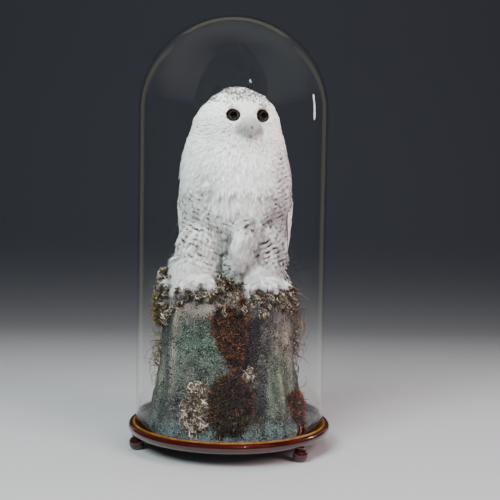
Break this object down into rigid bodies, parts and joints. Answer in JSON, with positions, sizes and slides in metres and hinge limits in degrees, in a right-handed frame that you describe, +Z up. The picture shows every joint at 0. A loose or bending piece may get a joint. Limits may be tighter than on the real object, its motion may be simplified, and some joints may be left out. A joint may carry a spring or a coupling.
{
  "type": "taxidermy snowy owl under a glass dome",
  "caption": "Mounted white owl with its head turned, standing on a modelled rock stump with moss and lichen, on a round wooden base with bun feet, under a tall glass dome.",
  "frame": {"origin": "on the dome's vertical axis, at the level of the floor that the bun feet stand on", "axes": "+Z up along the dome's axis; the owl faces -Y and turns its head towards +X"},
  "size_m": [0.4388, 0.4388, 0.924],
  "materials": {
    "plumage": "soft white feathers with grey-brown bars",
    "horn": "black horn, half gloss",
    "eye": "dark glass eye, polished",
    "rockwork": "matt sanded paint with black speckle, grey-green and lilac",
    "moss": "dry moss, rust brown to dark brown",
    "lichen": "dry reindeer lichen, pale beige",
    "mahogany": "dark red-brown polished wood",
    "ochre_ring": "ochre stained bead",
    "dome_glass": "clear blown glass"
  },
  "bodies": {
    "root": {"head": "plumage", "neck": "plumage", "trunk": "plumage", "tail": "plumage", "wing_right": "plumage", "wing_left": "plumage", "leg_right": "plumage", "leg_left": "plumage", "foot_right": "plumage", "foot_left": "plumage", "claw_right_1": "horn", "claw_right_2": "horn", "claw_right_3": "horn", "claw_right_4": "horn", "claw_left_1": "horn", "claw_left_2": "horn", "claw_left_3": "horn", "claw_left_4": "horn", "bill": "horn", "eye_right": "eye", "eye_left": "eye", "rock_stump": "rockwork", "groundwork": "rockwork", "moss_cleft": "moss", "moss_mound": "moss", "moss_low_left": "moss", "moss_high_right": "moss", "lichen_clump": "lichen", "wood_base": "mahogany", "bun_foot_1": "mahogany", "bun_foot_2": "mahogany", "bun_foot_3": "mahogany", "dome_ring": "ochre_ring", "glass_dome": "dome_glass"}
  },
  "joints": []
}
